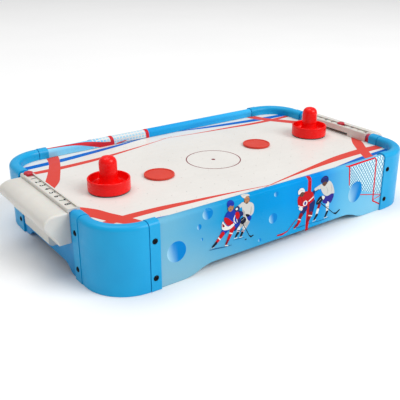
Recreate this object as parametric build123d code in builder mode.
"""Tabletop air hockey game: printed boards joined by moulded corners, a blown playing surface,
two goal units with score rails, a battery fan unit underneath, two pushers and two pucks.

Frame: +X along the length, +Y to the rear, +Z up. The origin is on the floor, under the middle.
"""
import os
from math import atan2, cos, hypot, pi, radians, sin, tan

from build123d import *

os.makedirs("parts", exist_ok=True)

# ---------------------------------------------------------------- driving dimensions (mm)
LENGTH = 510.0            # over the curved parts of the corner mouldings
WIDTH = 310.0
RIM_TOP = 85.0            # top of the curved corners
FIELD_TOP = 72.0          # top of the playing surface

CORNER_R = 54.0           # outer plan radius of a corner
RIM_WIDTH = 15.0          # width of the tube-like corner rim
SHELL = 2.4               # wall of the corner mouldings
COLLAR_PROUD = 0.7        # the socket collars stand out from the curved part
COLLAR_WALL = 2.0
COLLAR_X = 14.0           # collar length beside the long boards
COLLAR_Y = 15.0           # collar length beside the end boards
NECK = 0.8                # shadow groove between collar and curve
NECK_DEPTH = 0.9

BOARD_T = 12.0            # thickness of the side and end boards
BOARD_INSET = 1.5         # board face behind the curved corner's face
BOARD_TOP = 83.3
ARCH_RISE = 10.5          # underside of the boards is lifted between their feet
BOARD_EDGE_R = 5.2        # rounding of the top edges

SURFACE_T = 3.0
PLENUM_FLOOR_TOP = 43.0
PLENUM_FLOOR_T = 3.0
BATTEN_W = 10.0
GAP = 0.3                 # fitting clearance between glued or dropped-in pieces

SCREW_Z = (16.0, 62.0)    # heights of the corner screws
SCREW_R = 1.5
SCREW_PILOT_R = 1.6
SCREW_HEAD_R = 3.3

GOAL_HALF = 70.0          # half length of a score rail and goal hood
SLOT_HALF = 34.0          # half length of the goal slot
SLOT_TOP = 76.5           # a puck's top is at 75.3
RAIL_TOP = 85.3
RAIL_WALL = 1.6
HOOD_WALL = 2.0
HOOD_TOP = 81.0
HOOD_BOTTOM = 43.0
POCKET_BOTTOM = 28.0      # underside of the catch pocket

PUSHER_R = 27.0
PUSHER_H = 45.0
PUCK_R = 20.5
PUCK_T = 3.0
HOVER = 0.3               # air gap under pushers and pucks

PUSHER_AT = {"left": (-174.5, -16.0), "right": (194.0, 6.0)}
PUCK_AT = {"left": (-97.0, -10.0), "right": (92.0, 14.5)}

# ---------------------------------------------------------------- worked out from them
CX = LENGTH / 2 - CORNER_R                      # centre of a corner's arc
CY = WIDTH / 2 - CORNER_R
SIDE_Y = WIDTH / 2 - BOARD_INSET                # outer face of a long board
END_X = LENGTH / 2 - BOARD_INSET                # outer face of an end board
SIDE_IN = SIDE_Y - BOARD_T
END_IN = END_X - BOARD_T
RIM_IN = CORNER_R - RIM_WIDTH                   # inner plan radius of a corner
COLLAR_START_Y = CY - 8.0                       # the short side has a straight stretch of rim
SCREW_X = CX - COLLAR_X / 2
SCREW_Y = COLLAR_START_Y - COLLAR_Y / 2
COLLAR_FACE_Y = WIDTH / 2 + COLLAR_PROUD
COLLAR_FACE_X = LENGTH / 2 + COLLAR_PROUD
SURFACE_BOTTOM = FIELD_TOP - SURFACE_T
UNDERSIDE = PLENUM_FLOOR_TOP - PLENUM_FLOOR_T   # underside of the plenum floor

CORNERS = {"front_left": (-1, -1), "front_right": (1, -1), "rear_left": (-1, 1), "rear_right": (1, 1)}
ENDS = {"left": -1, "right": 1}


def save(piece, name):
    """Label one finished sub-part and write its STEP file."""
    piece.label = name
    export_step(piece, f"parts/{name}.step")


def to_quadrant(piece, sign_x, sign_y):
    """Mirror a piece made in the +X +Y quarter into another quarter."""
    if sign_x < 0:
        piece = mirror(piece, about=Plane.YZ)
    if sign_y < 0:
        piece = mirror(piece, about=Plane.XZ)
    return piece


def turned(piece, side):
    """Turn a piece made for the right end half a turn about Z for the left end."""
    return piece if side > 0 else piece.rotate(Axis.Z, 180)


# ---------------------------------------------------------------- corner mouldings
def rim_section(low, high, top, wall, rounding):
    """Inverted U between two plan radii: outer wall to the floor, inner wall to the playing surface."""
    width = high - low
    with Locations(((low + high) / 2, 0)):
        Rectangle(width, top, align=(Align.CENTER, Align.MIN))
    crown = vertices().group_by(Axis.Y)[-1]
    fillet(crown, rounding)
    with BuildSketch(mode=Mode.PRIVATE) as hollow:
        with Locations(((low + high) / 2, -1)):
            Rectangle(width - 2 * wall, top + 1 - wall, align=(Align.CENTER, Align.MIN))
        inner_crown = hollow.vertices().group_by(Axis.Y)[-1]
        fillet(inner_crown, max(rounding - wall, 0.6))
    add(hollow.sketch, mode=Mode.SUBTRACT)
    with Locations((low + wall / 2, -1)):
        Rectangle(wall + 0.02, FIELD_TOP + 1 + 0.1, align=(Align.CENTER, Align.MIN), mode=Mode.SUBTRACT)


def corner_shell():
    """One corner moulding in the +X +Y quarter, with a socket collar at each end."""
    cavity_low = SIDE_IN - CY - GAP / 2
    cavity_high = SIDE_Y - CY + GAP / 2
    curve = (RIM_IN, CORNER_R, RIM_TOP, SHELL, 6.0)
    neck = (RIM_IN + NECK_DEPTH, CORNER_R - NECK_DEPTH, RIM_TOP - NECK_DEPTH, SHELL - NECK_DEPTH, 5.5)
    collar = (cavity_low - COLLAR_WALL, cavity_high + COLLAR_WALL, BOARD_TOP + 0.2 + COLLAR_WALL,
              COLLAR_WALL, 6.3)
    along_y = Plane(origin=(CX, CY, 0), x_dir=(1, 0, 0), z_dir=(0, -1, 0))
    along_x = Plane(origin=(CX, CY, 0), x_dir=(0, 1, 0), z_dir=(1, 0, 0))
    with BuildPart() as shell:
        with BuildSketch(along_y):
            rim_section(*curve)
        revolve(axis=Axis((CX, CY, 0), (0, 0, 1)), revolution_arc=90)
        with BuildSketch(along_y):
            rim_section(*curve)
        extrude(amount=CY - COLLAR_START_Y - NECK)
        with BuildSketch(along_y.offset(CY - COLLAR_START_Y - NECK)):
            rim_section(*neck)
        extrude(amount=NECK)
        with BuildSketch(along_y.offset(CY - COLLAR_START_Y)):
            rim_section(*collar)
        extrude(amount=COLLAR_Y)
        with BuildSketch(along_x):
            rim_section(*neck)
        extrude(amount=-NECK)
        with BuildSketch(along_x.offset(-NECK)):
            rim_section(*collar)
        extrude(amount=-(COLLAR_X - NECK))
        for height in SCREW_Z:
            side_face = Plane(origin=(SCREW_X, COLLAR_FACE_Y, height), z_dir=(0, 1, 0))
            end_face = Plane(origin=(COLLAR_FACE_X, SCREW_Y, height), z_dir=(1, 0, 0))
            with Locations(side_face, end_face):
                CounterBoreHole(radius=SCREW_R + 0.2, counter_bore_radius=SCREW_HEAD_R + 0.4,
                                counter_bore_depth=0.8, depth=4.0)
    return shell.part


def pan_screw(shank_length, head_radius, head_height):
    """A pan-head screw along +Z, its head's underside at z = 0 and its shank below."""
    with BuildPart() as screw:
        with BuildSketch(Plane.XZ):
            with BuildLine():
                rise = head_height * 0.45
                Line((0, -shank_length), (SCREW_R * 0.35, -shank_length))
                Line((SCREW_R * 0.35, -shank_length), (SCREW_R, -shank_length + 2.2))
                Line((SCREW_R, -shank_length + 2.2), (SCREW_R, 0))
                Line((SCREW_R, 0), (head_radius, 0))
                Line((head_radius, 0), (head_radius, rise))
                ThreePointArc((head_radius, rise), (head_radius * 0.74, head_height * 0.86),
                              (0, head_height))
                Line((0, head_height), (0, -shank_length))
            make_face()
        revolve(axis=Axis.Z)
        with BuildSketch(Plane.XY.offset(head_height * 0.42)):
            Rectangle(head_radius * 1.15, 0.8)
            Rectangle(0.8, head_radius * 1.15)
        extrude(amount=head_height, mode=Mode.SUBTRACT)
    return screw.part


def screw_group(places, shank_length, head_radius, head_height):
    """Several identical screws as one node; each place is a plane whose normal leaves the head."""
    screw = pan_screw(shank_length, head_radius, head_height)
    with BuildPart() as group:
        for place in places:
            add(place.location * screw)
    return group.part


def corner_screw_places(sign_x, sign_y):
    """Seats of the four screws of one corner."""
    seat = COLLAR_FACE_Y - 0.8
    places = [Plane(origin=(sign_x * SCREW_X, sign_y * seat, z), z_dir=(0, sign_y, 0)) for z in SCREW_Z]
    seat = COLLAR_FACE_X - 0.8
    places += [Plane(origin=(sign_x * seat, sign_y * SCREW_Y, z), z_dir=(sign_x, 0, 0)) for z in SCREW_Z]
    return places


corner = corner_shell()
for corner_name, (sx, sy) in CORNERS.items():
    save(to_quadrant(corner, sx, sy), f"corner_{corner_name}")
    screws = screw_group(corner_screw_places(sx, sy), 13.0, SCREW_HEAD_R, 1.9)
    save(screws, f"corner_screws_{corner_name}")


# ---------------------------------------------------------------- boards
def arched_board(half, foot, arch_start):
    """Outline of a board with two feet: each S-curve is two tangent arcs from foot to arch."""
    run = foot - arch_start
    sweep_radius = (run ** 2 + ARCH_RISE ** 2) / (4 * ARCH_RISE)
    middle = ((foot + arch_start) / 2, ARCH_RISE / 2)
    with BuildLine() as outline:
        for side in (-1, 1):
            low = (side * foot, 0)
            joint = (side * middle[0], middle[1])
            high = (side * arch_start, ARCH_RISE)
            Line((side * half, BOARD_TOP), (side * half, 0))
            Line((side * half, 0), low)
            RadiusArc(low, joint, side * sweep_radius)
            RadiusArc(joint, high, -side * sweep_radius)
        Line((-arch_start, ARCH_RISE), (arch_start, ARCH_RISE))
        Line((-half, BOARD_TOP), (half, BOARD_TOP))
    make_face(outline.edges())


def side_board():
    """The rear long board; the front one is its mirror image."""
    half = CX - 1.0
    with BuildPart() as board:
        with BuildSketch(Plane(origin=(0, SIDE_Y, 0), x_dir=(1, 0, 0), z_dir=(0, -1, 0))):
            arched_board(half, foot=158.0, arch_start=110.0)
        extrude(amount=BOARD_T)
        fillet(board.edges().filter_by(Axis.X).group_by(Axis.Z)[-1], BOARD_EDGE_R)
        for side in (-1, 1):
            for height in SCREW_Z:
                with Locations(Plane(origin=(side * SCREW_X, SIDE_Y, height), z_dir=(0, 1, 0))):
                    Hole(radius=SCREW_PILOT_R, depth=11.6)
    return board.part


SWITCH_AT = (150.0, 30.0)          # x and z of the rocker switch in the rear board
SWITCH_CUT = (19.4, 13.2)

rear_board = side_board()
save(mirror(rear_board, about=Plane.XZ), "side_board_front")

with BuildPart() as side_board_rear:
    add(rear_board)
    with BuildSketch(Plane(origin=(SWITCH_AT[0], SIDE_Y, SWITCH_AT[1]), x_dir=(1, 0, 0), z_dir=(0, -1, 0))):
        Rectangle(*SWITCH_CUT)
    extrude(amount=BOARD_T, mode=Mode.SUBTRACT)
save(side_board_rear.part, "side_board_rear")

RAIL_SEAT = RAIL_TOP - 4.0         # the rim is cut down under the score rail
LINER_T = 1.2                      # the rail's moulding also lines the goal slot
with BuildPart() as end_board:
    with BuildSketch(Plane(origin=(END_X, 0, 0), x_dir=(0, 1, 0), z_dir=(1, 0, 0))):
        arched_board(COLLAR_START_Y - 1.0, foot=70.0, arch_start=46.0)
    extrude(amount=-BOARD_T)
    fillet(end_board.edges().filter_by(Axis.Y).group_by(Axis.Z)[-1], BOARD_EDGE_R)
    with Locations((END_X - BOARD_T / 2, 0, RAIL_SEAT)):
        Box(BOARD_T + 2, 2 * GOAL_HALF + 0.6, 10, align=(Align.CENTER, Align.CENTER, Align.MIN),
            mode=Mode.SUBTRACT)
    with Locations((END_X - BOARD_T / 2, 0, FIELD_TOP - LINER_T - 0.1)):
        Box(BOARD_T + 2, 2 * (SLOT_HALF + LINER_T + 0.1), RAIL_SEAT - FIELD_TOP + LINER_T + 0.2,
            align=(Align.CENTER, Align.CENTER, Align.MIN), mode=Mode.SUBTRACT)
    for side in (-1, 1):
        for height in SCREW_Z:
            with Locations(Plane(origin=(END_X, side * SCREW_Y, height), z_dir=(1, 0, 0))):
                Hole(radius=SCREW_PILOT_R, depth=11.6)
        with Locations(Plane(origin=(END_X, side * 58.0, 57.0), z_dir=(1, 0, 0))):
            Hole(radius=SCREW_PILOT_R, depth=9.0)
for end_name, side in ENDS.items():
    save(turned(end_board.part, side), f"end_board_{end_name}")


# ---------------------------------------------------------------- playing surface and plenum
AIR_HOLE_R = 0.6
AIR_PITCH = 22.0
AIR_COUNT = (20, 12)

with BuildPart() as playing_surface:
    with BuildSketch(Plane.XY.offset(SURFACE_BOTTOM)):
        RectangleRounded(2 * (END_IN - GAP), 2 * (SIDE_IN - GAP), RIM_IN + 1.0)
        with GridLocations(AIR_PITCH, AIR_PITCH, *AIR_COUNT):
            Circle(AIR_HOLE_R, mode=Mode.SUBTRACT)
    extrude(amount=SURFACE_T)
save(playing_surface.part, "playing_surface")

FAN_OPENING_R = 29.0
FAN_SCREW_AT = 33.5
BOX_AT = (100.0, 70.0)             # middle of the battery box
BOX_SCREW_AT = 37.0
with BuildPart() as plenum_floor:
    with BuildSketch(Plane.XY.offset(UNDERSIDE)):
        RectangleRounded(2 * (END_IN - GAP), 2 * (SIDE_IN - GAP), RIM_IN + 1.0)
        Circle(FAN_OPENING_R, mode=Mode.SUBTRACT)
        with GridLocations(2 * FAN_SCREW_AT, 2 * FAN_SCREW_AT, 2, 2):
            Circle(SCREW_PILOT_R, mode=Mode.SUBTRACT)
        with Locations(BOX_AT):
            with GridLocations(2 * BOX_SCREW_AT, 0, 2, 1):
                Circle(SCREW_PILOT_R, mode=Mode.SUBTRACT)
    extrude(amount=PLENUM_FLOOR_T)
save(plenum_floor.part, "plenum_floor")

BATTEN_H = SURFACE_BOTTOM - PLENUM_FLOOR_TOP
for batten_name, sy in (("front", -1), ("rear", 1)):
    with BuildPart(Plane.XY.offset(PLENUM_FLOOR_TOP)) as long_batten:
        with Locations((0, sy * (SIDE_IN - GAP - BATTEN_W / 2), 0)):
            Box(2 * (END_IN - BATTEN_W), BATTEN_W, BATTEN_H, align=(Align.CENTER, Align.CENTER, Align.MIN))
        chamfer(long_batten.edges().filter_by(Axis.Z), 0.8)
    save(long_batten.part, f"batten_{batten_name}")
for batten_name, sx in ENDS.items():
    with BuildPart(Plane.XY.offset(PLENUM_FLOOR_TOP)) as short_batten:
        with Locations((sx * (END_IN - GAP - BATTEN_W / 2), 0, 0)):
            Box(BATTEN_W, 2 * (SIDE_IN - BATTEN_W - 1.0), BATTEN_H,
                align=(Align.CENTER, Align.CENTER, Align.MIN))
        chamfer(short_batten.edges().filter_by(Axis.Z), 0.8)
    save(short_batten.part, f"batten_{batten_name}")

with BuildPart() as surface_posts:
    with BuildSketch(Plane.XY.offset(PLENUM_FLOOR_TOP)):
        with GridLocations(220, 132, 2, 2):
            RectangleRounded(14, 14, 2)
    extrude(amount=BATTEN_H)
save(surface_posts.part, "surface_posts")


# ---------------------------------------------------------------- goal units
RAIL_OUT = END_X + 0.1 + RAIL_WALL             # face of the outer skirt, which stops at the hood
RAIL_IN = END_IN - 0.1 - RAIL_WALL             # face of the inner skirt, which reaches the field
OUTER_SKIRT_END = 74.5
INNER_SKIRT_END = FIELD_TOP + GAP
CHANNEL_FLOOR = RAIL_TOP - 2.0
CHANNEL_HALF = 4.9                             # half width of the channel's mouth
DOVETAIL = 0.8                                 # undercut on each side
RAIL_MID = (RAIL_OUT + RAIL_IN) / 2

with BuildPart() as score_rail:
    with BuildSketch(Plane(origin=(0, GOAL_HALF, 0), x_dir=(1, 0, 0), z_dir=(0, -1, 0))):
        with BuildLine():
            Polyline((RAIL_OUT, OUTER_SKIRT_END), (RAIL_OUT, RAIL_TOP),
                     (RAIL_MID + CHANNEL_HALF, RAIL_TOP),
                     (RAIL_MID + CHANNEL_HALF + DOVETAIL, CHANNEL_FLOOR),
                     (RAIL_MID - CHANNEL_HALF - DOVETAIL, CHANNEL_FLOOR),
                     (RAIL_MID - CHANNEL_HALF, RAIL_TOP), (RAIL_IN, RAIL_TOP),
                     (RAIL_IN, INNER_SKIRT_END), (RAIL_IN + RAIL_WALL, INNER_SKIRT_END),
                     (RAIL_IN + RAIL_WALL, RAIL_SEAT + 0.1), (RAIL_OUT - RAIL_WALL, RAIL_SEAT + 0.1),
                     (RAIL_OUT - RAIL_WALL, OUTER_SKIRT_END), close=True)
        make_face()
    extrude(amount=2 * GOAL_HALF)
    crown_edges = score_rail.edges().filter_by(Axis.Y).group_by(Axis.Z)[-1].sort_by(Axis.X)
    fillet([crown_edges[0], crown_edges[-1]], 1.6)
    with Locations((RAIL_MID, 0, INNER_SKIRT_END)):
        Box(BOARD_T + 0.3, 2 * (SLOT_HALF + LINER_T), RAIL_SEAT + 0.2 - INNER_SKIRT_END,
            align=(Align.CENTER, Align.CENTER, Align.MIN))
    with Locations((RAIL_MID, 0, FIELD_TOP - LINER_T)):
        Box(BOARD_T, 2 * (SLOT_HALF + LINER_T), LINER_T + GAP,
            align=(Align.CENTER, Align.CENTER, Align.MIN))
    with Locations((RAIL_MID, 0, FIELD_TOP)):
        Box(RAIL_OUT - RAIL_IN + 2, 2 * SLOT_HALF, SLOT_TOP - FIELD_TOP,
            align=(Align.CENTER, Align.CENTER, Align.MIN), mode=Mode.SUBTRACT)
    for side in (-1, 1):
        with Locations((RAIL_MID, side * (GOAL_HALF - 1.0), CHANNEL_FLOOR - 0.01)):
            Box(2 * (CHANNEL_HALF + DOVETAIL), 2.0, RAIL_TOP - CHANNEL_FLOOR - 0.3,
                align=(Align.CENTER, Align.CENTER, Align.MIN))
for end_name, side in ENDS.items():
    save(turned(score_rail.part, side), f"score_rail_{end_name}")

SLIDER_LENGTH = 11.0
SLIDER_CLEARANCE = 0.3
SLIDER_AT = {"left": 62.0, "right": -12.4}      # Y of each score slider
for end_name, side in ENDS.items():
    slider_mid = side * RAIL_MID
    with BuildPart() as score_slider:
        with BuildSketch(Plane(origin=(slider_mid, SLIDER_AT[end_name] + SLIDER_LENGTH / 2 - 1.5, 0),
                               x_dir=(1, 0, 0), z_dir=(0, -1, 0))):
            foot_half = CHANNEL_HALF + DOVETAIL - SLIDER_CLEARANCE - 0.12
            foot_z = CHANNEL_FLOOR + SLIDER_CLEARANCE
            neck_half = CHANNEL_HALF - SLIDER_CLEARANCE - 0.1
            with BuildLine():
                Polyline((-foot_half, foot_z), (foot_half, foot_z),
                         (neck_half, RAIL_TOP + 0.1), (neck_half, RAIL_TOP + 0.5),
                         (-neck_half, RAIL_TOP + 0.5), (-neck_half, RAIL_TOP + 0.1), close=True)
            make_face()
        extrude(amount=SLIDER_LENGTH - 3.0)
        with BuildSketch(Plane((slider_mid, SLIDER_AT[end_name], RAIL_TOP + 0.4))):
            RegularPolygon(radius=6.1, side_count=6, rotation=0)
            fillet(vertices(), 1.2)
        extrude(amount=2.2)
        fillet(score_slider.faces().sort_by(Axis.Z)[-1].edges(), 0.9)
    save(score_slider.part, f"score_slider_{end_name}")


def hood_outline(grow, top, bottom, back):
    """Bulging profile of the goal hood; grow moves the wall line outwards, X is away from the board."""
    nose = (31.5 + grow, 69.5)
    with BuildLine() as outline:
        Line((back, bottom), (back, top))
        Line((back, top), (15.0, top))
        crest = Spline((15.0, top), (26.5 + 0.75 * grow, 77.6 + 0.7 * grow), nose,
                       tangents=((1, 0), (0, -1)))
        belly = Spline(crest @ 1, (28.0 + grow, 62.0 - 0.4 * grow), (15.0 + 0.9 * grow, HOOD_BOTTOM + 1.0),
                       tangents=((0, -1), (-0.62, -1)))
        Line(belly @ 1, (15.0 + 0.9 * grow, bottom))
        Line((15.0 + 0.9 * grow, bottom), (back, bottom))
    make_face(outline.edges())


TAB_Y = 58.0
TAB_Z = 57.0
with BuildPart() as goal_hood:
    hood_plane = Plane(origin=(END_X, GOAL_HALF, 0), x_dir=(1, 0, 0), z_dir=(0, -1, 0))
    with BuildSketch(hood_plane):
        hood_outline(0.0, HOOD_TOP, HOOD_BOTTOM, 0.1)
    extrude(amount=2 * GOAL_HALF)
    cheek_edges = goal_hood.edges().filter_by(Plane.XZ).filter_by(lambda e: e.center().X > END_X + 8)
    fillet(cheek_edges.filter_by(lambda e: e.center().Z > HOOD_BOTTOM + 1), 2.4)
    with Locations((END_X, 0, OUTER_SKIRT_END - 0.2)):
        Box(1.9, 2 * GOAL_HALF + 2, 12, align=(Align.MIN, Align.CENTER, Align.MIN), mode=Mode.SUBTRACT)
    with BuildSketch(hood_plane.offset(HOOD_WALL)):
        hood_outline(-HOOD_WALL, HOOD_TOP - HOOD_WALL, HOOD_BOTTOM - 3, -1.0)
    extrude(amount=2 * (GOAL_HALF - HOOD_WALL), mode=Mode.SUBTRACT)
    with Locations((END_X + 0.1, 0, POCKET_BOTTOM)):
        Box(13.9, 2 * (SLOT_HALF + HOOD_WALL), HOOD_BOTTOM + 1.5 - POCKET_BOTTOM,
            align=(Align.MIN, Align.CENTER, Align.MIN))
    pocket_edges = goal_hood.edges().filter_by_position(Axis.Z, POCKET_BOTTOM - 0.1, POCKET_BOTTOM + 0.1)
    fillet(pocket_edges.filter_by(Axis.Y).sort_by(Axis.X)[-1], 5.0)
    with BuildSketch(Plane(origin=(END_X, SLOT_HALF, 0), x_dir=(1, 0, 0), z_dir=(0, -1, 0))):
        with BuildLine():
            Polyline((-1, 48), (12.6, 48), (12.1, 34))
            TangentArc((12.1, 34), (8.4, 30), tangent=(0, -1))
            Line((8.4, 30), (-1, 30))
            Line((-1, 30), (-1, 48))
        make_face()
    extrude(amount=2 * SLOT_HALF, mode=Mode.SUBTRACT)
    for side in (-1, 1):
        with Locations((END_X + 0.1, side * (TAB_Y + 2.5), TAB_Z)):
            Box(2.0, 15.5, 16.0, align=(Align.MIN, Align.CENTER, Align.CENTER))
        with Locations(Plane(origin=(END_X + 2.1, side * TAB_Y, TAB_Z), z_dir=(1, 0, 0))):
            Hole(radius=SCREW_R + 0.2, depth=4.0)
for end_name, side in ENDS.items():
    save(turned(goal_hood.part, side), f"goal_hood_{end_name}")
    seats = [Plane(origin=(side * (END_X + 2.1), sy * TAB_Y, TAB_Z), z_dir=(side, 0, 0)) for sy in (-1, 1)]
    save(screw_group(seats, 10.0, 3.0, 1.8), f"hood_screws_{end_name}")


# ---------------------------------------------------------------- fan unit
FAN_BOTTOM = 16.0
DUCT_IN_R = 30.5
DUCT_OUT_R = 33.0
MOTOR_R = 12.0
HUB_R = 14.2
BLADES = 7
SHAFT_R = 1.0
FLANGE_T = 2.6

with BuildPart() as fan_housing:
    with BuildSketch(Plane.XY.offset(UNDERSIDE - FLANGE_T)):
        RectangleRounded(78, 78, 8)
        Circle(DUCT_IN_R, mode=Mode.SUBTRACT)
        with GridLocations(2 * FAN_SCREW_AT, 2 * FAN_SCREW_AT, 2, 2):
            Circle(SCREW_R + 0.2, mode=Mode.SUBTRACT)
    extrude(amount=FLANGE_T)
    with BuildSketch(Plane.XY.offset(FAN_BOTTOM)):
        Circle(DUCT_OUT_R)
        Circle(DUCT_IN_R, mode=Mode.SUBTRACT)
    extrude(amount=UNDERSIDE - FLANGE_T - FAN_BOTTOM)
    with BuildSketch(Plane.XY.offset(FAN_BOTTOM)):
        Circle(HUB_R)
        with PolarLocations((HUB_R + DUCT_IN_R) / 2, 3, start_angle=30):
            Rectangle(DUCT_IN_R - HUB_R + 2.4, 3.2)
    extrude(amount=2.4)
    with BuildSketch(Plane.XY.offset(FAN_BOTTOM + 2.4)):
        Circle(HUB_R)
        Circle(MOTOR_R + 0.15, mode=Mode.SUBTRACT)
    extrude(amount=9.0)
save(fan_housing.part, "fan_housing")

MOTOR_BOTTOM = FAN_BOTTOM + 2.4
MOTOR_TOP = MOTOR_BOTTOM + 12.4
with BuildPart() as fan_motor:
    with BuildSketch(Plane.XY.offset(MOTOR_BOTTOM)):
        Circle(MOTOR_R)
    extrude(amount=MOTOR_TOP - MOTOR_BOTTOM)
    fillet(fan_motor.edges().filter_by(GeomType.CIRCLE).sort_by(Axis.Z)[-1], 1.2)
    with BuildSketch(Plane.XY.offset(MOTOR_TOP)):
        Circle(3.2)
    extrude(amount=1.2)
    with Locations((0, 0, MOTOR_TOP + 1.2)):
        Hole(radius=SHAFT_R + 0.05, depth=6.0)
save(fan_motor.part, "fan_motor")

IMPELLER_LOW = MOTOR_TOP + 1.6
IMPELLER_HIGH = 38.6
with BuildPart() as fan_impeller:
    with BuildSketch(Plane.XY.offset(IMPELLER_LOW)):
        Circle(8.0)
        Circle(SHAFT_R + 0.02, mode=Mode.SUBTRACT)
    extrude(amount=IMPELLER_HIGH - IMPELLER_LOW)
    blade_z = (IMPELLER_LOW + IMPELLER_HIGH) / 2
    for turn in range(BLADES):
        with Locations(Location((0, 0, blade_z), (0, 0, turn * 360 / BLADES))):
            with Locations(Location((17.6, 0, 0), (38, 0, 0))):
                Box(20.8, 7.4, 1.4)
    hub_rims = fan_impeller.edges().filter_by(GeomType.CIRCLE).sort_by(Axis.Z)[-2:]
    fillet(hub_rims.sort_by(SortBy.RADIUS)[-1], 1.2)
save(fan_impeller.part, "fan_impeller")

with BuildPart() as fan_shaft:
    with BuildSketch(Plane.XY.offset(MOTOR_TOP - 4.0)):
        Circle(SHAFT_R)
    extrude(amount=IMPELLER_HIGH + 1.2 - MOTOR_TOP + 4.0)
save(fan_shaft.part, "fan_shaft")

with BuildPart() as fan_grille:
    with BuildSketch(Plane.XY.offset(FAN_BOTTOM - 2.0)):
        Circle(DUCT_OUT_R)
        Circle(30.0, mode=Mode.SUBTRACT)
        for ring in (24.5, 19.0, 13.5, 8.0):
            Circle(ring)
            Circle(ring - 1.6, mode=Mode.SUBTRACT)
        Circle(3.2)
        with PolarLocations(16.5, 6):
            Rectangle(29.0, 1.8)
    extrude(amount=2.0)
save(fan_grille.part, "fan_grille")

fan_corners = [(sx * FAN_SCREW_AT, sy * FAN_SCREW_AT) for sx in (-1, 1) for sy in (-1, 1)]
fan_seats = [Plane(origin=(x, y, UNDERSIDE - FLANGE_T), z_dir=(0, 0, -1)) for x, y in fan_corners]
save(screw_group(fan_seats, 5.4, 2.9, 1.7), "fan_screws")


# ---------------------------------------------------------------- battery box
CELL_R = 7.0
CELL_PITCH = 14.8
CELL_LENGTH = 47.5
CELL_Z = 30.0
BOX_IN = (58.0, 60.4)              # cavity along X and Y
BOX_WALL = 1.8
BOX_LOW = 21.6                     # mouth of the box, above the door

box_x, box_y = BOX_AT
with BuildPart() as battery_box:
    with BuildSketch(Plane.XY.offset(BOX_LOW)):
        with Locations(BOX_AT):
            RectangleRounded(BOX_IN[0] + 2 * BOX_WALL, BOX_IN[1] + 2 * BOX_WALL, 2.0)
    extrude(amount=UNDERSIDE - BOX_LOW)
    with BuildSketch(Plane.XY.offset(BOX_LOW)):
        with Locations(BOX_AT):
            Rectangle(*BOX_IN)
    extrude(amount=UNDERSIDE - BOX_LOW - 1.8, mode=Mode.SUBTRACT)
    for side in (-1, 1):
        with BuildSketch(Plane.YZ.offset(box_x - BOX_IN[0] / 2 - BOX_WALL)):
            edge = box_y + side * (BOX_IN[1] / 2 + BOX_WALL)
            with BuildLine():
                Polyline((edge, BOX_LOW + 3), (edge + side * 2.4, BOX_LOW + 1), (edge + side * 2.4, 17.0),
                         (edge - side * 1.6, 17.0), (edge - side * 1.6, 18.4), (edge + side * 0.6, 18.4),
                         (edge + side * 0.6, BOX_LOW), (edge, BOX_LOW), close=True)
            make_face()
        extrude(amount=BOX_IN[0] + 2 * BOX_WALL)
        with BuildSketch(Plane.XY.offset(UNDERSIDE - 2.2)):
            with Locations((box_x + side * (BOX_SCREW_AT - 2.4), box_y)):
                RectangleRounded(13.0, 12.0, 3.0)
            with Locations((box_x + side * BOX_SCREW_AT, box_y)):
                Circle(SCREW_R + 0.2, mode=Mode.SUBTRACT)
        extrude(amount=2.2)
    for row in (-1, 0, 1):
        with Locations((box_x, box_y + row * CELL_PITCH, UNDERSIDE)):
            Box(30.0, 0.45, 12.0, align=(Align.CENTER, Align.CENTER, Align.MAX))
save(battery_box.part, "battery_box")

DOOR_LENGTH = BOX_IN[0] + 2 * BOX_WALL
with BuildPart() as battery_door:
    with BuildSketch(Plane.XY.offset(18.9)):
        with Locations(BOX_AT):
            RectangleRounded(DOOR_LENGTH, BOX_IN[1] + 2 * BOX_WALL + 0.4, 1.5)
    extrude(amount=2.2)
    with BuildSketch(Plane.XY.offset(18.1)):
        with Locations((box_x - DOOR_LENGTH / 2 + 9.0, box_y)):
            with GridLocations(2.4, 0, 5, 1):
                SlotOverall(22.0, 1.2, rotation=90)
    extrude(amount=1.0)
save(battery_door.part, "battery_door")

with BuildPart() as battery_cells:
    for row in range(4):
        y = box_y + (row - 1.5) * CELL_PITCH
        tip = 1 if row % 2 else -1
        with BuildSketch(Plane(origin=(box_x - tip * CELL_LENGTH / 2, y, CELL_Z), z_dir=(tip, 0, 0))):
            Circle(CELL_R)
        extrude(amount=CELL_LENGTH)
        with BuildSketch(Plane(origin=(box_x + tip * CELL_LENGTH / 2, y, CELL_Z), z_dir=(tip, 0, 0))):
            Circle(2.7)
        extrude(amount=1.4)
save(battery_cells.part, "battery_cells")

with BuildPart() as battery_contacts:
    for row in range(4):
        y = box_y + (row - 1.5) * CELL_PITCH
        tip = 1 if row % 2 else -1
        for way in (-1, 1):
            plate = Plane(origin=(box_x + way * (BOX_IN[0] / 2 - 0.1), y, CELL_Z), z_dir=(-way, 0, 0))
            with BuildSketch(plate):
                RectangleRounded(10.0, 10.0, 1.5)
            extrude(amount=0.5)
        flat_end = Plane(origin=(box_x - tip * (BOX_IN[0] / 2 - 0.8), y, CELL_Z), z_dir=(tip, 0, 0))
        for coil in range(4):
            ring = flat_end.offset(0.35 + 0.95 * coil)
            with BuildSketch(ring):
                Circle(4.4 - 0.5 * coil)
                Circle(3.5 - 0.5 * coil, mode=Mode.SUBTRACT)
            extrude(amount=0.96)
save(battery_contacts.part, "battery_contacts")

box_seats = [Plane(origin=(box_x + side * BOX_SCREW_AT, box_y, UNDERSIDE - 2.2), z_dir=(0, 0, -1))
             for side in (-1, 1)]
save(screw_group(box_seats, 5.0, 2.9, 1.7), "battery_box_screws")


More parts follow.
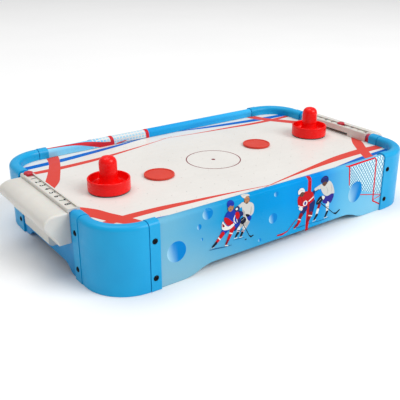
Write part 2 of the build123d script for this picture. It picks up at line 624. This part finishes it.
# ---------------------------------------------------------------- switch
ROCKER_TILT = 9.0
ROCKER_HALF = 6.6
ROCKER_AXIS_Y = SIDE_Y - 1.6
PIVOT_R = 1.0
switch_x, switch_z = SWITCH_AT
with BuildPart() as switch_body:
    outside = Plane(origin=(switch_x, SIDE_Y, switch_z), x_dir=(-1, 0, 0), z_dir=(0, 1, 0))
    with BuildSketch(outside):
        RectangleRounded(23.0, 16.5, 1.5)
    extrude(amount=1.8)
    with BuildSketch(outside):
        RectangleRounded(18.9, 12.7, 0.6)
    extrude(amount=-15.0)
    with BuildSketch(outside.offset(1.8)):
        Rectangle(15.0, 9.6)
    extrude(amount=-8.6, mode=Mode.SUBTRACT)
    with BuildSketch(outside.offset(-15.0)):
        with GridLocations(7.0, 0, 2, 1):
            Rectangle(0.8, 4.6)
    extrude(amount=-5.0)
    with Locations((switch_x, ROCKER_AXIS_Y, switch_z)):
        Cylinder(PIVOT_R + 0.08, 11.8, mode=Mode.SUBTRACT)
save(switch_body.part, "switch_body")

with BuildPart() as switch_rocker:
    with BuildSketch(Plane.XY.offset(switch_z - 4.4)):
        with BuildLine():
            left = (switch_x - ROCKER_HALF, ROCKER_AXIS_Y + 3.8)
            right = (switch_x + ROCKER_HALF, ROCKER_AXIS_Y + 3.8)
            low_left = (switch_x - 2.4, ROCKER_AXIS_Y - 3.0)
            low_right = (switch_x + 2.4, ROCKER_AXIS_Y - 3.0)
            ThreePointArc(left, (switch_x, ROCKER_AXIS_Y + 2.8), right)
            Line(right, low_right)
            ThreePointArc(low_right, (switch_x, ROCKER_AXIS_Y - 3.6), low_left)
            Line(low_left, left)
        make_face()
    extrude(amount=8.8)
    with Locations((switch_x, ROCKER_AXIS_Y, switch_z)):
        Cylinder(PIVOT_R, 11.2)
rocker_axis = Axis((switch_x, ROCKER_AXIS_Y, switch_z), (0, 0, 1))
save(switch_rocker.part.rotate(rocker_axis, ROCKER_TILT), "switch_rocker")


# ---------------------------------------------------------------- leads under the plenum floor
LEAD_R = 1.5
LEAD_Z = 32.0


def lead_radii(points):
    """Largest tangent arc at each inner point of a route: 0.45 of the shorter run over tan(turn / 2)."""
    radii = []
    for before, here, after in zip(points, points[1:], points[2:]):
        run_in = hypot(here[0] - before[0], here[1] - before[1])
        run_out = hypot(after[0] - here[0], after[1] - here[1])
        heading_in = atan2(here[1] - before[1], here[0] - before[0])
        heading_out = atan2(after[1] - here[1], after[0] - here[0])
        turn = abs((heading_out - heading_in + radians(180)) % radians(360) - radians(180))
        radii.append(0.45 * min(run_in, run_out) / tan(turn / 2))
    return radii


LEADS = {
    "lead_switch": [(150.0, 133.2), (150.4, 121.0), (148.0, 109.5), (141.5, 100.5), (131.25, 97.8)],
    "lead_fan": [(68.7, 86.0), (58.0, 85.2), (47.0, 78.5), (36.5, 67.0), (27.5, 55.0), (21.0, 42.5),
                 (17.0, 29.3)],
}

for lead_name, points in LEADS.items():
    radii = lead_radii(points)
    print(lead_name, "bend radii", [round(radius, 1) for radius in radii])
    with BuildPart() as lead:
        with BuildLine() as route:
            FilletPolyline(*[(x, y, LEAD_Z) for x, y in points], radius=radii)
        start_direction = route.line % 0
        with BuildSketch(Plane(origin=route.line @ 0, z_dir=start_direction)):
            Circle(LEAD_R)
        sweep(path=route.line)
    full_volume = pi * LEAD_R ** 2 * route.wire().length
    print(lead_name, "volume ratio", round(lead.part.volume / full_volume, 3))
    save(lead.part, lead_name)

CLIP_HALF_W = 3.4
CLIPS = [(149.3, 115.5, 78.0), (42.0, 73.0, 47.5), (24.2, 48.7, 62.5)]      # x, y and heading of the lead
with BuildPart() as lead_clips:
    for x, y, heading in CLIPS:
        turn = radians(heading)
        clip_plane = Plane(origin=(x, y, LEAD_Z), x_dir=(sin(turn), -cos(turn), 0),
                           z_dir=(cos(turn), sin(turn), 0))
        with BuildSketch(clip_plane.offset(-3.0)):
            SlotCenterToCenter(0.01 + 2 * (CLIP_HALF_W - LEAD_R - 1.0), 2 * (LEAD_R + 1.2))
            Rectangle(2 * CLIP_HALF_W, UNDERSIDE - LEAD_Z, align=(Align.CENTER, Align.MIN))
            Circle(LEAD_R + 0.25, mode=Mode.SUBTRACT)
            Rectangle(2.2, 6.0, align=(Align.CENTER, Align.MAX), mode=Mode.SUBTRACT)
        extrude(amount=6.0)
save(lead_clips.part, "lead_clips")


# ---------------------------------------------------------------- pushers and pucks
PAD_T = 1.2
PUSHER_BASE = FIELD_TOP + HOVER
WALL_TOP = 17.0
KNOB_R = 11.4
KNOB_WALL = 2.2
CUP_FLOOR = 6.5
for pusher_name, (x, y) in PUSHER_AT.items():
    turning_axis = Axis((x, y, 0), (0, 0, 1))
    with BuildPart() as pusher:
        with BuildSketch(Plane(origin=(x, y, PUSHER_BASE), x_dir=(1, 0, 0), z_dir=(0, -1, 0))):
            with BuildLine():
                Line((PUSHER_R - 0.6, PAD_T), (PUSHER_R, PAD_T + 0.8))
                Line((PUSHER_R, PAD_T + 0.8), (PUSHER_R, WALL_TOP - 1.1))
                ThreePointArc((PUSHER_R, WALL_TOP - 1.1), (PUSHER_R - 1.1, WALL_TOP),
                              (PUSHER_R - 2.2, WALL_TOP - 1.1))
                Line((PUSHER_R - 2.2, WALL_TOP - 1.1), (PUSHER_R - 2.5, CUP_FLOOR + 2.5))
                RadiusArc((PUSHER_R - 2.5, CUP_FLOOR + 2.5), (PUSHER_R - 5.0, CUP_FLOOR), 2.5)
                Line((PUSHER_R - 5.0, CUP_FLOOR), (KNOB_R + 5.6, CUP_FLOOR + 0.6))
                Spline((KNOB_R + 5.6, CUP_FLOOR + 0.6), (KNOB_R + 1.5, CUP_FLOOR + 4.6),
                       (KNOB_R - 0.2, CUP_FLOOR + 13.5), tangents=((-1, 0.1), (-0.02, 1)))
                Line((KNOB_R - 0.2, CUP_FLOOR + 13.5), (KNOB_R, PUSHER_H - 10.5))
                Spline((KNOB_R, PUSHER_H - 10.5), (KNOB_R * 0.76, PUSHER_H - 2.6), (0, PUSHER_H),
                       tangents=((0.0, 1), (-1, 0)))
                Line((0, PUSHER_H), (0, PUSHER_H - KNOB_WALL))
                Spline((0, PUSHER_H - KNOB_WALL), (KNOB_R * 0.6, PUSHER_H - 4.6),
                       (KNOB_R - KNOB_WALL, PUSHER_H - 11.0), tangents=((1, 0), (0, -1)))
                Line((KNOB_R - KNOB_WALL, PUSHER_H - 11.0), (KNOB_R - KNOB_WALL, CUP_FLOOR + 6.0))
                Spline((KNOB_R - KNOB_WALL, CUP_FLOOR + 6.0), (KNOB_R + 3.4, CUP_FLOOR - 2.0),
                       tangents=((0.0, -1), (1, -0.3)))
                Line((KNOB_R + 3.4, CUP_FLOOR - 2.0), (PUSHER_R - 6.0, CUP_FLOOR - 2.2))
                Line((PUSHER_R - 6.0, CUP_FLOOR - 2.2), (PUSHER_R - 6.0, PAD_T))
                Line((PUSHER_R - 6.0, PAD_T), (PUSHER_R - 0.6, PAD_T))
            make_face()
        revolve(axis=turning_axis)
    save(pusher.part, f"pusher_{pusher_name}")
    with BuildPart() as pusher_pad:
        with BuildSketch(Plane((x, y, PUSHER_BASE))):
            Circle(PUSHER_R - 0.8)
            Circle(PUSHER_R - 5.8, mode=Mode.SUBTRACT)
        extrude(amount=PAD_T)
    save(pusher_pad.part, f"pusher_pad_{pusher_name}")

for puck_name, (x, y) in PUCK_AT.items():
    with BuildPart() as puck:
        with BuildSketch(Plane((x, y, FIELD_TOP + HOVER))):
            Circle(PUCK_R)
        extrude(amount=PUCK_T)
        with BuildSketch(Plane((x, y, FIELD_TOP + HOVER + PUCK_T - 0.6))):
            Circle(PUCK_R - 2.6)
        extrude(amount=1.0, mode=Mode.SUBTRACT)
        with BuildSketch(Plane((x, y, FIELD_TOP + HOVER - 0.4))):
            Circle(PUCK_R - 2.6)
        extrude(amount=1.0, mode=Mode.SUBTRACT)
        rims = puck.edges().filter_by(GeomType.CIRCLE).filter_by(lambda e: e.radius > PUCK_R - 0.1)
        fillet(rims, 0.7)
    save(puck.part, f"puck_{puck_name}")
